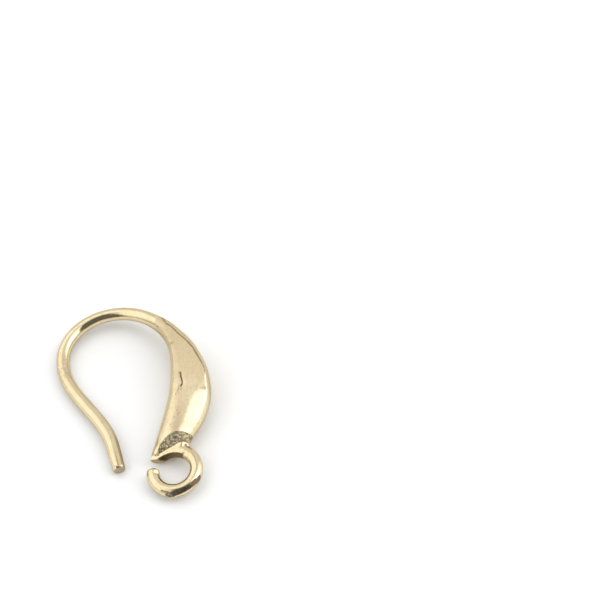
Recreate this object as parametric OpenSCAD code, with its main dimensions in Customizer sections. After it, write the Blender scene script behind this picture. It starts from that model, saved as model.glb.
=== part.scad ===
// Ear wire: one brass casting. A round wire hook swells into a crescent body
// and ends in a small loop that is cut open. It lies on its side on z = 0.

/* [Wire] */
// Length of the whole ear wire, from its loop to its arch, mm
overall_length = 13.4; // [12.6:0.1:15.4]
// Diameter of the hook's round wire, mm
wire_d = 0.81; // [0.72:0.01:0.95]
// Heading of the pin's straight end, back towards the hook, degrees from +X
tip_lean = 109.5; // [106:0.5:114]
// Straight length at the pin's end, mm
pin_straight = 1.35; // [1.1:0.05:1.6]
// Length of the ground taper at the pin's end, mm
taper_length = 0.6; // [0.3:0.02:0.8]
// Diameter of the pin's cut end, mm
pin_end_d = 0.66; // [0.5:0.02:0.7]

/* [Body] */
// Widest width of the crescent body, in the hook's plane, mm
body_w = 2.62; // [2.2:0.02:3.1]
// Greatest thickness of the crescent body, across the hook's plane, mm
body_t = 2.3; // [1.8:0.05:2.6]

/* [Loop] */
// Diameter of the loop's hole, mm
loop_hole_d = 1.77; // [1.5:0.02:2.1]
// Diameter of the loop's wire, mm
loop_wire_d = 0.77; // [0.7:0.01:0.95]
// Width of the flat worn land round the inside of the hole, mm
hole_land = 0.3; // [0.2:0.02:0.4]
// Width of the cut that opens the loop beside the body's foot, mm
loop_gap = 0.56; // [0.4:0.02:0.7]

/* [Detail] */
// Cross-sections along the hook
stations = 84; // [60:4:110]
// Corners round each cross-section
corners = 20; // [16:2:24]

/* [Hidden] */
$fn = 48;
brass = [0.80, 0.66, 0.38];

wire_r = wire_d / 2;
// The wire line from the pin's cut end to the body's foot
run_length = 2.011 * overall_length;
pin_share = pin_straight / run_length;

// How sharply the wire turns along its run, positive to the left.
// Columns: share of the run, degrees turned if it kept on so for the whole run
bends = [
    [0, 0],
    [pin_share, 0],
    [0.075, 395],
    [0.11, 180],
    [0.16, 50],
    [0.21, -80],
    [0.27, -281],
    [0.335, -494],
    [0.395, -551],
    [0.46, -462],
    [0.53, -396],
    [0.61, -402],
    [0.69, -344],
    [0.77, -197],
    [0.89, -77],
    [1, 49]
];

// How the body grows out of the wire, outwards only, so the inner line runs on.
// Columns: share of the run, extra reach as a share of body_w - wire_d,
// lean of the cross-section in degrees, extra thickness as a share of body_t - wire_d
swell = [
    [0.50, 0, 0, 0],
    [0.60, 0.01, 0, 0.12],
    [0.67, 0.14, 0, 0.46],
    [0.74, 0.52, 0, 0.87],
    [0.80, 0.85, 0, 1],
    [0.86, 0.98, 4, 0.85],
    [0.92, 0.94, 15, 0.61],
    [0.965, 0.83, 24, 0.45],
    [0.985, 0.80, 27, 0.39],
    [1, 0.86, 28, 0.2]
];

// Heading of the wire line at share u: the area under the bends table
function clip(v, top) = min(max(v, 0), top);
function turn_in(i, u) =
    let (w = bends[i + 1][0] - bends[i][0], a = clip(u - bends[i][0], w))
    a * (bends[i][1] + (bends[i + 1][1] - bends[i][1]) * a / w / 2);
function total(v, i = 0, sum = 0) = i >= len(v) ? sum : total(v, i + 1, sum + v[i]);
function heading(u) = tip_lean + total([for (i = [0:len(bends) - 2]) turn_in(i, u)]);

// The wire line itself, walked in small straight steps from the pin's cut end
walk_steps = 320;
walk_step = run_length / walk_steps;
function walk_dir(i) = let (h = heading((i + 0.5) / walk_steps)) walk_step * [cos(h), sin(h)];
walk = [for (i = 0, p = [0, 0]; i <= walk_steps; p = p + walk_dir(i), i = i + 1) p];
function on_wire(u) =
    let (f = u * walk_steps, i = min(floor(f), walk_steps - 1))
    walk[i] + (walk[i + 1] - walk[i]) * (f - i);

// A smooth curve through column c of the swell table, flat past its ends
function rise(c, i) = (swell[i + 1][c] - swell[i][c]) / (swell[i + 1][0] - swell[i][0]);
function slope(c, i) =
    i == 0 || i == len(swell) - 1 ? 0
    : rise(c, i - 1) * rise(c, i) <= 0 ? 0
    : 2 * rise(c, i - 1) * rise(c, i) / (rise(c, i - 1) + rise(c, i));
function row_of(u) = max([for (i = [0:len(swell) - 2]) u >= swell[i][0] ? i : 0]);
function blend(c, u) =
    u <= swell[0][0] ? swell[0][c]
    : let (i = row_of(u), w = swell[i + 1][0] - swell[i][0], t = (u - swell[i][0]) / w)
      (1 + 2 * t) * (1 - t) * (1 - t) * swell[i][c] + t * (1 - t) * (1 - t) * w * slope(c, i)
      + t * t * (3 - 2 * t) * swell[i + 1][c] - t * t * (1 - t) * w * slope(c, i + 1);

// One cross-section: an oval whose inner edge stays wire_r from the wire line
function section(u, grow = 1) =
    let (
        c = on_wire(u),
        h = heading(u) + blend(2, u),
        out = [-sin(h), cos(h)],
        reach = wire_r + blend(1, u) * (body_w - wire_d),
        half_w = (reach + wire_r) / 2 * grow,
        half_t = (wire_r + blend(3, u) * (body_t - wire_d) / 2) * grow,
        mid = c + out * (reach - wire_r) / 2
    )
    [for (k = [0:corners - 1]) let (a = 360 * k / corners)
        [mid[0] + out[0] * half_w * cos(a), mid[1] + out[1] * half_w * cos(a), half_t * sin(a)]];

// Stations: even along the wire, closer over the body's steep end
last_even = swell[7][0] - 0.01;
first_u = pin_share + 0.004;
shares = concat(
    [for (i = [0:stations]) first_u + (last_even - first_u) * i / stations],
    [0.965, 0.975, 0.985, 0.991, 0.996, 1]
);
root_u = 0.91 * pin_share;
sections = concat([section(root_u, 0.97)], [for (u = shares) section(u)]);

// The loop, seated on the end of the wire line
loop_r = (loop_hole_d + loop_wire_d) / 2;
seat_angle = 138.6;
foot = on_wire(1);
loop_mid = foot - (loop_r + 0.23 * wire_d) * [cos(seat_angle), sin(seat_angle)];
cut_top = loop_mid[1] + loop_r * 0.585;
land_bite = loop_wire_d / 2 - sqrt(pow(loop_wire_d / 2, 2) - pow(hole_land / 2, 2));

// How it lies: on the pin's end, on the wire's flank and on the body's belly
flank = max([for (i = [20:walk_steps]) atan2(walk[i][1], walk[i][0])]);
function off_flank(p) = p[0] * sin(flank) - p[1] * cos(flank);
tilt = max([for (s = sections) for (p = s) let (d = off_flank(p))
    p[2] < 0 && d > 1 ? atan2(-p[2], d) - asin(wire_r / norm([d, p[2]])) : 0]);
function tipped(p) =
    let (a = p[0] * cos(flank) + p[1] * sin(flank), d = off_flank(p))
    let (e = d * cos(tilt) - p[2] * sin(tilt))
    [a * cos(flank) + e * sin(flank), a * sin(flank) - e * cos(flank), d * sin(tilt) + p[2] * cos(tilt)];
loop_skin = [for (t = [0:5:355]) for (q = [0:20:340])
    [loop_mid[0] + (loop_r + loop_wire_d / 2 * cos(q)) * cos(t),
     loop_mid[1] + (loop_r + loop_wire_d / 2 * cos(q)) * sin(t), loop_wire_d / 2 * sin(q)]];
pin_skin = [for (k = [0:15:345]) let (o = pin_end_d / 2 * cos(k))
    [-o * sin(tip_lean), o * cos(tip_lean), pin_end_d / 2 * sin(k)]];
all_skin = [for (s = concat(sections, [loop_skin, pin_skin])) for (p = s) tipped(p)];
low = [for (c = [0:2]) min([for (p = all_skin) p[c]])];
high = [for (c = [0:2]) max([for (p = all_skin) p[c]])];

ear_wire();

module ear_wire() {
    color(brass)
    translate([-(low[0] + high[0]) / 2, -(low[1] + high[1]) / 2, wire_r])
    rotate(a = -tilt, v = [cos(flank), sin(flank), 0])
    difference() {
        union() {
            hook_and_body();
            pin_end();
            loop_ring();
        }
        loop_cut();
        loop_end();
        hole_wear();
    }
}

// The wire and the crescent body: one skin through all the cross-sections
module hook_and_body() {
    n = len(sections);
    m = corners;
    sides = [for (i = [0:n - 2]) for (k = [0:m - 1]) let (a = i * m + k, b = i * m + (k + 1) % m)
        each [[a, b + m, b], [a, a + m, b + m]]];
    start_cap = [[for (k = [0:m - 1]) k]];
    end_cap = [[for (k = [m - 1:-1:0]) (n - 1) * m + k]];
    polyhedron(points = [for (s = sections) each s], faces = concat(sides, start_cap, end_cap));
}

// The pin's straight end with its ground taper, turned as one piece
module pin_end() {
    rotate([0, 90, tip_lean])
    rotate_extrude()
    polygon([[0, 0], [pin_end_d / 2, 0], [wire_r, taper_length], [wire_r, pin_straight], [0, pin_straight]]);
}

// The loop's round wire
module loop_ring() {
    translate([loop_mid[0], loop_mid[1], 0])
    rotate_extrude()
    translate([loop_r, 0])
    circle(d = loop_wire_d);
}

// The land inside the hole, a true cylinder
module hole_wear() {
    translate([loop_mid[0], loop_mid[1], -hole_land])
    cylinder(r = loop_hole_d / 2 + land_bite, h = 2 * hole_land);
}

// The saw cut between the body's foot and the loop's free end
module loop_cut() {
    side = loop_r + loop_wire_d;
    translate([loop_mid[0] - side, cut_top - loop_gap, -loop_wire_d])
    cube([side - 0.3 * loop_r, loop_gap, 2 * loop_wire_d]);
}

// What is rubbed off to round over the loop's free end, a cup about that end
module loop_end() {
    end_y = cut_top - loop_gap - loop_mid[1];
    end_at = 180 - asin(end_y / loop_r);
    round_r = 0.59 * loop_wire_d;
    translate([loop_mid[0] + loop_r * cos(end_at), loop_mid[1] + end_y - round_r, 0])
    rotate([-90, 0, 0])
    difference() {
        cylinder(d = 1.5 * loop_wire_d, h = 1.5 * round_r);
        sphere(r = round_r);
    }
}
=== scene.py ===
# %% [markdown]
# # A cast ear wire, lying on a white table
#
# An ear wire is the small metal hook that carries an earring. This one is a
# brass casting: a round wire hook swells into a crescent body, and the body
# ends in a little loop that is cut open so that a drop can be hung from it.
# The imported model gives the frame, and everything below is built round it.

# %% The frame
import math

import bmesh
import bpy
import numpy as np
from mathutils import Matrix, Vector, noise


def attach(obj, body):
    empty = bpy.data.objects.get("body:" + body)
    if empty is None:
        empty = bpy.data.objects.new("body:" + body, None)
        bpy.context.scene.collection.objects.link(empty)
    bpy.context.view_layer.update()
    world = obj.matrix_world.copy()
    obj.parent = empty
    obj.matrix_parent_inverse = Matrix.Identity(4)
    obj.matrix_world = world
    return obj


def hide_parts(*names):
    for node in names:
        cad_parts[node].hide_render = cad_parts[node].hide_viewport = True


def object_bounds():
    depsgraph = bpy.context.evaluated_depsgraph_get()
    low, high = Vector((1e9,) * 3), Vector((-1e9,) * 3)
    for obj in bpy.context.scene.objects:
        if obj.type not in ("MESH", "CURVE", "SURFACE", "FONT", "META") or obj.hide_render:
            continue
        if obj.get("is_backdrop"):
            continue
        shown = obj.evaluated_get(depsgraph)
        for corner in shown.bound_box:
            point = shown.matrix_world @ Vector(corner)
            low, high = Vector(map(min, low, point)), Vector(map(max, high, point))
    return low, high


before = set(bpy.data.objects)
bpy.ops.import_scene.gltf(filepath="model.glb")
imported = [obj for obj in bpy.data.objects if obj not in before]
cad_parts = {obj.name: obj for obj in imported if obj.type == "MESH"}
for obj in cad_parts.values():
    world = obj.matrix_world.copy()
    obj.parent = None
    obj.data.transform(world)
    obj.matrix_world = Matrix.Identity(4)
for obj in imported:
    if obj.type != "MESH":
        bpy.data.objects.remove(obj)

cad_low, cad_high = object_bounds()
print("the solid's box, mm:", [round(1000 * v, 2) for v in (*cad_low, *cad_high)])

# %% [markdown]
# ## Working big
#
# The real piece is 13 mm long. Blender's remesh and merge tools work in whole
# units and get coarse below a tenth of a millimetre. The piece could be made
# at its own size with every tool's limits changed, but it is simpler to work
# on a bench where one unit is one millimetre, and to shrink it at the end. On
# the bench the hook lies in the XY plane, the pin's cut end is at the origin,
# and the arch points along +Y.

# %% Bench helpers
MM = 0.001


def put_down():
    """Leave edit mode and let go of everything."""
    if bpy.context.object and bpy.context.object.mode != "OBJECT":
        bpy.ops.object.mode_set(mode="OBJECT")
    bpy.ops.object.select_all(action="DESELECT")


def pick_up(*pieces):
    """Select only these pieces, the first one active."""
    put_down()
    for piece in pieces:
        piece.select_set(True)
    bpy.context.view_layer.objects.active = pieces[0]


def finish_with(piece, kind, **settings):
    """Add one modifier to a piece and apply it."""
    pick_up(piece)
    modifier = piece.modifiers.new(kind.title(), kind)
    for name, value in settings.items():
        setattr(modifier, name, value)
    bpy.ops.object.modifier_apply(modifier=modifier.name)


print("one unit on the bench becomes", MM, "m on the table")

# %% [markdown]
# ## Picking faces and moving points
#
# By hand, faces are clicked on. In code they are picked by where they are and
# which way they face, so the choice still fits when the shape changes a
# little. A mesh's points are read into one table of numbers and put back
# again. That way a file's stroke is worked out for all of them at once.

# %% Faces and points
def select_faces(piece, wanted):
    """Select the faces whose middle and normal pass a test, and open edit mode."""
    put_down()
    bpy.context.view_layer.objects.active = piece
    bpy.context.tool_settings.mesh_select_mode = (False, False, True)
    mesh = piece.data
    middle, normal = np.empty(3 * len(mesh.polygons)), np.empty(3 * len(mesh.polygons))
    mesh.polygons.foreach_get("center", middle)
    mesh.polygons.foreach_get("normal", normal)
    chosen = wanted(middle.reshape(-1, 3), normal.reshape(-1, 3))
    mesh.vertices.foreach_set("select", np.zeros(len(mesh.vertices), bool))
    mesh.edges.foreach_set("select", np.zeros(len(mesh.edges), bool))
    mesh.polygons.foreach_set("select", chosen)
    bpy.ops.object.mode_set(mode="EDIT")
    return int(chosen.sum())


def mesh_points(piece):
    """A piece's points as rows of x, y, z."""
    flat = np.empty(3 * len(piece.data.vertices))
    piece.data.vertices.foreach_get("co", flat)
    return flat.reshape(-1, 3)


def set_mesh_points(piece, points):
    """Put rows of x, y, z back as a piece's points."""
    piece.data.vertices.foreach_set("co", points.ravel())
    piece.data.update()


# %% [markdown]
# ## The wire line
#
# The hook is one wire, bent to and fro with a wide arch at the top. It could
# be drawn as a curve by eye. A maker bends it round pegs, so here the bends
# are written down as a table: how sharply the wire turns at each share of its
# length. Adding the turns up gives the heading, and walking along the heading
# gives the line. These are the solid's own sizes, so the two agree.

# %% Sizes and the wire line
wire_d = 0.81                        # the hook's round wire
overall_length = 13.4                # from the loop to the top of the arch
tip_lean = 109.5                     # the pin's heading, degrees from +X
pin_straight = 1.35                  # the pin's straight length
wire_r = wire_d / 2
run_length = 2.011 * overall_length  # the wire line, from the pin's end to the foot

# Columns: share of the run, degrees turned if it kept on so for the whole run
bends = np.array([
    (0, 0), (pin_straight / run_length, 0), (0.075, 395), (0.11, 180),
    (0.16, 50), (0.21, -80), (0.27, -281), (0.335, -494),
    (0.395, -551), (0.46, -462), (0.53, -396), (0.61, -402),
    (0.69, -344), (0.77, -197), (0.89, -77), (1, 49)])


def heading(share):
    """Which way the wire runs at a share of its length, in radians from +X."""
    turned = np.full_like(np.asarray(share, float), tip_lean)
    for (start, rate), (end, next_rate) in zip(bends[:-1], bends[1:]):
        part = np.clip(share - start, 0, end - start)
        turned += part * (rate + (next_rate - rate) * part / (end - start) / 2)
    return np.radians(turned)


walk_steps = 320
walk_share = np.linspace(0, 1, walk_steps + 1)
step_heading = heading((walk_share[1:] + walk_share[:-1]) / 2)
step_ahead = np.stack([np.cos(step_heading), np.sin(step_heading)], 1)
wire_line = np.vstack([[0, 0], np.cumsum(step_ahead * run_length / walk_steps, 0)])
print(f"the wire line is {run_length:.2f} mm long and ends at", wire_line[-1].round(2))

# %% [markdown]
# ## How the body swells
#
# The body grows out of the wire as a crescent: outwards in the hook's plane,
# and thicker to both sides, while its inner edge runs on as the wire's. It
# could be sculpted freely. Here the growth is a table, with a smooth curve
# through each column, because the solid was made from the same table.

# %% The swell table
body_w, body_t = 2.62, 2.3  # the body's greatest width and thickness

# Columns: share of the run, extra reach outwards, lean in degrees, extra thickness
swell = np.array([
    (0.50, 0, 0, 0), (0.60, 0.01, 0, 0.12), (0.67, 0.14, 0, 0.46),
    (0.74, 0.52, 0, 0.87), (0.80, 0.85, 0, 1), (0.86, 0.98, 4, 0.85),
    (0.92, 0.94, 15, 0.61), (0.965, 0.83, 24, 0.45), (0.985, 0.80, 27, 0.39),
    (1, 0.86, 28, 0.20)])


def smooth_column(share, column):
    """A smooth curve through one column of the swell table, flat at its ends."""
    x, y = swell[:, 0], swell[:, column]
    if share <= x[0]:
        return y[0]
    rise = np.diff(y) / np.diff(x)
    both = rise[1:] * rise[:-1]
    slope = np.zeros(len(x))
    slope[1:-1] = np.where(both > 0, 2 * both / np.where(both > 0, rise[1:] + rise[:-1], 1), 0)
    row = int(np.clip(np.searchsorted(x, share, side="right") - 1, 0, len(x) - 2))
    width = x[row + 1] - x[row]
    t = (share - x[row]) / width
    return ((1 + 2 * t) * (1 - t) ** 2 * y[row] + t * (1 - t) ** 2 * width * slope[row]
            + t * t * (3 - 2 * t) * y[row + 1] - t * t * (1 - t) * width * slope[row + 1])


print("extra reach at 0.6, 0.7, 0.8 and 0.9 of the run:",
      [round(float(smooth_column(share, 1)), 2) for share in (0.6, 0.7, 0.8, 0.9)])

# %% [markdown]
# ## One section of the rod
#
# At any distance along the rod, the table gives how far its middle has moved
# outwards, half its width and half its thickness. Two things only show close
# up: the pin thins towards its end, so that it slips through an ear, and the
# rim of its cut end is a little rounded. Both are made by shrinking the
# sections there, which needs no cut or bevel afterwards.

# %% One section of the rod
pin_start = -0.15                     # the real pin ends this far beyond the solid's
thin_from, thin_run = 1.1, 1.2        # where it starts to thin, and over what length
thin_share = 0.10                     # how much of its radius it loses
round_share, round_run = 0.10, 0.02   # the same for its rounded rim


def rod_section(along):
    """Outward shift, half width and half thickness at a distance from the solid's pin end."""
    share = along / run_length
    reach = wire_r + smooth_column(share, 1) * (body_w - wire_d)
    half_t = wire_r + smooth_column(share, 3) * (body_t - wire_d) / 2
    thin = min(max((thin_from - along) / thin_run, 0), 1)
    worn = ((1 - thin_share * thin * thin * (3 - 2 * thin))
            * (1 - round_share * math.exp((pin_start - along) / round_run)))
    return (reach - wire_r) / 2, (reach + wire_r) / 2 * worn, half_t * worn


print("the pin's end is", round(2 * rod_section(pin_start)[2], 2), "mm across, the body",
      round(2 * rod_section(0.86 * run_length)[1], 2), "mm at its widest")

# %% [markdown]
# ## The blank
#
# Before it is bent, the casting is thought of as a straight rod that swells
# towards one end. It could be skinned over a row of drawn ovals. Extruding
# gives the same with less: it starts as a circle at the pin's cut end, which
# is extruded along X from station to station, and each new end is stretched
# to the width and thickness of its section.

# %% Extruding the rod
corners = 48  # round a wire
rim_stations = pin_start + np.array([0.01, 0.02, 0.04, 0.07, 0.11, 0.16, 0.22])
even_stations = np.linspace(0.15, 0.955 * run_length, 210)
foot_stations = np.linspace(0.96, 1, 16) * run_length
stations = np.concatenate([rim_stations, even_stations, foot_stations])


def extrude_rod():
    """The straight rod, left open in edit mode."""
    put_down()
    _, half_w, half_t = rod_section(pin_start)
    bpy.ops.mesh.primitive_circle_add(
        vertices=corners, radius=half_t, fill_type="NGON",
        location=(pin_start, 0, 0), rotation=(0, math.pi / 2, 0))
    rod = bpy.context.object
    bpy.ops.object.transform_apply(location=True, rotation=True)
    bpy.ops.object.mode_set(mode="EDIT")
    bpy.ops.mesh.select_all(action="SELECT")
    at, shift = pin_start, 0.0
    for along in stations:
        next_shift, next_w, next_t = rod_section(along)
        bpy.ops.mesh.extrude_region_move(
            TRANSFORM_OT_translate={"value": (along - at, next_shift - shift, 0)})
        bpy.ops.transform.resize(
            value=(1, next_w / half_w, next_t / half_t),
            center_override=(along, next_shift, 0))
        at, shift, half_w, half_t = along, next_shift, next_w, next_t
    return rod


rod = extrude_rod()
rod.name = "ear_wire_cast"
print("the rod was extruded through", len(stations), "stations")

# %% [markdown]
# ## The leaning foot
#
# At its foot the body leans over towards the loop, so its last sections don't
# stand square to the wire line. They could be extruded at a slant. It is
# easier to turn them afterwards: each one is picked by its place along X and
# turned about the wire line by the lean in the swell table.

# %% Leaning the last sections
def lean_foot(rod):
    """Turn the sections near the foot, then close edit mode."""
    for along in stations[stations > 0.8 * run_length]:
        lean = math.radians(smooth_column(along / run_length, 2))
        mesh = bmesh.from_edit_mesh(rod.data)
        for vert in mesh.verts:
            vert.select = bool(abs(vert.co.x - along) < 1e-3)
        mesh.select_flush_mode()
        for vert in mesh.verts:
            if vert.select:
                y = vert.co.y
                vert.co.x, vert.co.y = along - y * math.sin(lean), y * math.cos(lean)
        bmesh.update_edit_mesh(rod.data)
    bpy.ops.mesh.select_all(action="SELECT")
    bpy.ops.mesh.normals_make_consistent(inside=False)
    bpy.ops.object.mode_set(mode="OBJECT")


lean_foot(rod)
print("the rod has", len(rod.data.polygons), "faces and is", round(rod.dimensions.x, 2), "mm long")

# %% [markdown]
# ## Bending it
#
# The straight rod has to follow the wire line. Turning every section by hand
# would do it too, but a Curve modifier is made for this: a point's X is how
# far along the curve it lands, its Y is how far to the left. Once bent, the
# modifier is applied and the curve is thrown away, as a jig is put aside.

# %% The bend
path = bpy.data.curves.new("wire_line", "CURVE")
path.dimensions = "3D"
path.twist_mode = "Z_UP"
spline = path.splines.new("POLY")
spline.points.add(walk_steps)
spline.points.foreach_set("co", np.column_stack([
    wire_line, np.zeros(walk_steps + 1), np.ones(walk_steps + 1)]).ravel())
jig = bpy.data.objects.new("wire_line", path)
bpy.context.scene.collection.objects.link(jig)
finish_with(rod, "CURVE", object=jig, deform_axis="POS_X")
bpy.data.objects.remove(jig)
print("bent, it spans", [round(v, 2) for v in rod.dimensions])

# %% [markdown]
# ## Where the loop sits
#
# The loop grows out of the body's foot, and a saw cut beside the foot opens
# it, so that a drop's ring can be slipped in. Its places could be measured
# one by one. They all follow from the end of the wire line instead, so the
# loop stays on the foot if the hook is bent in another way.

# %% Where the loop sits
loop_hole_d, loop_wire_d = 1.77, 0.77
loop_gap = 0.56             # the width of the saw cut
foot_extra = 0.07           # the real foot reaches this far into the solid's cut
seat = math.radians(138.6)  # the side of the loop that the foot stands on
seat_out = 0.23 * wire_d    # how far outside the loop's own line the wire line ends
cut_share = 0.585           # how high the cut's top is, as a share of the loop's radius

loop_r, tube_r = (loop_hole_d + loop_wire_d) / 2, loop_wire_d / 2
loop_mid = wire_line[-1] - (loop_r + seat_out) * np.array([math.cos(seat), math.sin(seat)])
cut_top = loop_mid[1] + loop_r * cut_share
free_end = cut_top - loop_gap
foot_face = cut_top - foot_extra
print("the loop's middle is at", loop_mid.round(2), "and its cut is", loop_gap, "mm wide")

# %% [markdown]
# ## The loop
#
# The loop is round wire too. A torus with a piece taken out would be one way,
# but its ends would both be flat. So one circle stands at the free end, and
# is spun about the loop's middle until it is well inside the foot.

# %% Spinning the loop
ball_r = 0.59 * loop_wire_d                       # the ball that rounds the free end
ball_back = math.sqrt(ball_r ** 2 - tube_r ** 2)  # its middle is this far behind the circle
free_turn = math.pi - math.asin((free_end - ball_r + ball_back - loop_mid[1]) / loop_r)
foot_turn = math.radians(360 + 155)
free_spot = Vector((loop_mid[0] + loop_r * math.cos(free_turn),
                    loop_mid[1] + loop_r * math.sin(free_turn), 0))


def spin_loop():
    """The loop's wire, with both its ends flat."""
    put_down()
    bpy.ops.mesh.primitive_circle_add(
        vertices=corners, radius=tube_r, fill_type="NGON",
        location=free_spot, rotation=(math.pi / 2, 0, free_turn))
    loop = bpy.context.object
    bpy.ops.object.transform_apply(location=True, rotation=True)
    bpy.ops.object.mode_set(mode="EDIT")
    bpy.ops.mesh.select_all(action="SELECT")
    bpy.ops.mesh.spin(
        steps=170, angle=foot_turn - free_turn, center=(*loop_mid, 0), axis=(0, 0, -1))
    return loop


loop = spin_loop()
print("spun through", round(math.degrees(foot_turn - free_turn)), "degrees")

# %% [markdown]
# ## The loop's two ends
#
# The free end was tumbled round, and the foot's end is a level saw cut. A
# bevel on the free end would stop short of a ball, so its cap is pushed out
# and shrunk a little at a time along a ball's outline. The foot's end is cut
# level with a bisect, which also closes it with a flat face.

# %% Free end and saw cut
def round_free_end(loop):
    """Push the free end's cap out and shrink it, a little at a time."""
    select_faces(loop, lambda middle, normal:
                 np.linalg.norm(middle - np.array(free_spot), axis=1) < 1e-3)
    ahead = Vector((math.sin(free_turn), -math.cos(free_turn), 0))
    at, ring = 0.0, tube_r
    for out in np.sin(np.linspace(0, math.pi / 2, 9)[1:]) * (ball_r - ball_back):
        next_ring = max(0.02, math.sqrt(max(ball_r ** 2 - (ball_back + out) ** 2, 0)))
        bpy.ops.mesh.extrude_region_move(
            TRANSFORM_OT_translate={"value": tuple(ahead * (out - at))})
        bpy.ops.transform.resize(
            value=(next_ring / ring,) * 3, center_override=free_spot + ahead * out)
        at, ring = out, next_ring


def saw_foot(loop):
    """Take off what hangs below the foot's cut face."""
    select_faces(loop, lambda middle, normal:
                 (middle[:, 1] > 0) & (middle[:, 0] < loop_mid[0]))
    bpy.ops.mesh.bisect(
        plane_co=(0, foot_face, 0), plane_no=(0, 1, 0), use_fill=True, clear_inner=True)
    bpy.ops.mesh.select_all(action="SELECT")
    bpy.ops.mesh.normals_make_consistent(inside=False)
    bpy.ops.object.mode_set(mode="OBJECT")


round_free_end(loop)
saw_foot(loop)
print("the loop spans", [round(v, 2) for v in loop.dimensions], "mm")

# %% [markdown]
# ## One casting
#
# The real piece was poured in one go, so its body flows into the loop with no
# seam. A boolean union would leave a sharp one. Joining the two pieces and
# giving them one new skin with a voxel Remesh doesn't. A few rounds of Smooth
# take the voxels' grain away and leave a small fillet where they meet.

# %% One skin
voxel = 0.052
pick_up(rod, loop)
bpy.ops.object.join()
cast = bpy.context.object
finish_with(cast, "REMESH", mode="VOXEL", voxel_size=voxel, use_smooth_shade=True)
finish_with(cast, "SMOOTH", factor=0.5, iterations=5)
print("the casting's skin has", len(cast.data.polygons), "faces")

# %% [markdown]
# ## Two lines on the body
#
# Two fine lines run over the body's face: one follows its outer edge, and a
# short crack lies further in. Such lines could be cut out with a thin tool
# and a boolean, but dents in the skin look more like worn metal. First they
# are only drawn. The edge line is given in shares of the wire line and of the
# body's width, so that it stays with the edge, the crack in bench places.

# %% Lines on the body
def wire_point(at_share, out):
    """A place in the hook's plane: share of the wire line, distance outwards."""
    turn = heading(at_share)
    spot = np.array([np.interp(at_share, walk_share, wire_line[:, k]) for k in (0, 1)])
    return spot + out * np.array([-np.sin(turn), np.cos(turn)])


def body_point(at_share, across):
    """The same, with the distance as a share of the section: -1 inner edge, 1 outer."""
    shift, half_w, _ = rod_section(at_share * run_length)
    return wire_point(at_share, shift + across * half_w)


edge_line = [body_point(*place) for place in (
    (0.632, 0.79), (0.646, 0.5), (0.660, 0.26), (0.679, 0.38), (0.700, 0.32), (0.717, 0.44),
    (0.732, 0.56), (0.750, 0.66), (0.770, 0.71), (0.785, 0.79), (0.799, 0.87), (0.808, 0.87))]
crack_line = [
    (3.46, 5.68), (3.50, 5.50), (3.56, 5.30), (3.61, 5.12), (3.62, 4.95), (3.55, 4.78)]
print("the edge line runs from", edge_line[0].round(2), "to", edge_line[-1].round(2))

# %% [markdown]
# ## Finer where the detail is
#
# The loop, the slope above it, the pin's end and the lines need smaller faces
# than plain wire does. A finer remesh would make the whole piece heavy, so
# only the faces at those places are subdivided, and smoothed once more.

# %% Finer faces
def away_from_line(spots, drawn_line):
    """How far spots are, seen from above, from a drawn line."""
    spots, drawn_line = np.asarray(spots, float)[:, :2], np.asarray(drawn_line, float)
    best = np.full(len(spots), np.inf)
    for a, b in zip(drawn_line[:-1], drawn_line[1:]):
        part = np.clip(((spots - a) @ (b - a)) / ((b - a) @ (b - a)), 0, 1)
        best = np.minimum(best, np.linalg.norm(spots - a - part[:, None] * (b - a), axis=1))
    return best


def has_detail(middle, normal):
    """Faces that aren't underneath, and are near something finely shaped."""
    seen = normal[:, 2] > -0.35
    loop_and_slope = (middle[:, 0] > 1.6) & (middle[:, 1] < 2.3)
    pin_end = (middle[:, 0] < 0.6) & (middle[:, 1] < 0.5)
    lines = ((away_from_line(middle, edge_line) < 0.14)
             | (away_from_line(middle, crack_line) < 0.2))
    return seen & (loop_and_slope | pin_end | lines)


made_finer = select_faces(cast, has_detail)
bpy.ops.mesh.subdivide(number_cuts=1)
put_down()
finish_with(cast, "SMOOTH", factor=0.5, iterations=3)
cast.data.calc_loop_triangles()
print(made_finer, "faces made finer; now", len(cast.data.loop_triangles), "triangles")

# %% [markdown]
# ## Finding places along the wire
#
# Wear and tool marks sit at places such as "two thirds along the wire, near
# the outer edge". The rod's own numbers were lost when it got its new skin.
# So each point of the skin looks for the nearest step of the wire line, and
# is told its share of the line and how far across the section it lies.

# %% Places along the wire
skin = mesh_points(cast)
batch = 4000  # points that are looked up at a time, to keep the memory small

step_middle = (wire_line[1:] + wire_line[:-1]) / 2
nearest = np.empty(len(skin), int)
for first in range(0, len(skin), batch):
    rows = slice(first, first + batch)
    nearest[rows] = np.argmin(((skin[rows, None, :2] - step_middle[None]) ** 2).sum(2), 1)
ahead, offset = step_ahead[nearest], skin[:, :2] - step_middle[nearest]
share = walk_share[nearest] + 0.5 / walk_steps + (offset * ahead).sum(1) / run_length
outward = offset[:, 1] * ahead[:, 0] - offset[:, 0] * ahead[:, 1]
along = share * run_length

section_at = np.linspace(pin_start, run_length, 500)
section_shift, section_w, section_t = np.array([rod_section(v) for v in section_at]).T
half_thick = np.interp(along, section_at, section_t)
across = ((outward - np.interp(along, section_at, section_shift))
          / np.interp(along, section_at, section_w))
print("the skin's points run from", round(along.min(), 2), "to", round(along.max(), 2), "mm")

# %% [markdown]
# ## Finding places round the loop
#
# On the loop, a place is an angle round the hole and an angle round the wire,
# as on a torus. Points as near to the loop's own line as its wire is thick
# belong to the loop. The rest right of the pin belong to the body.

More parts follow.
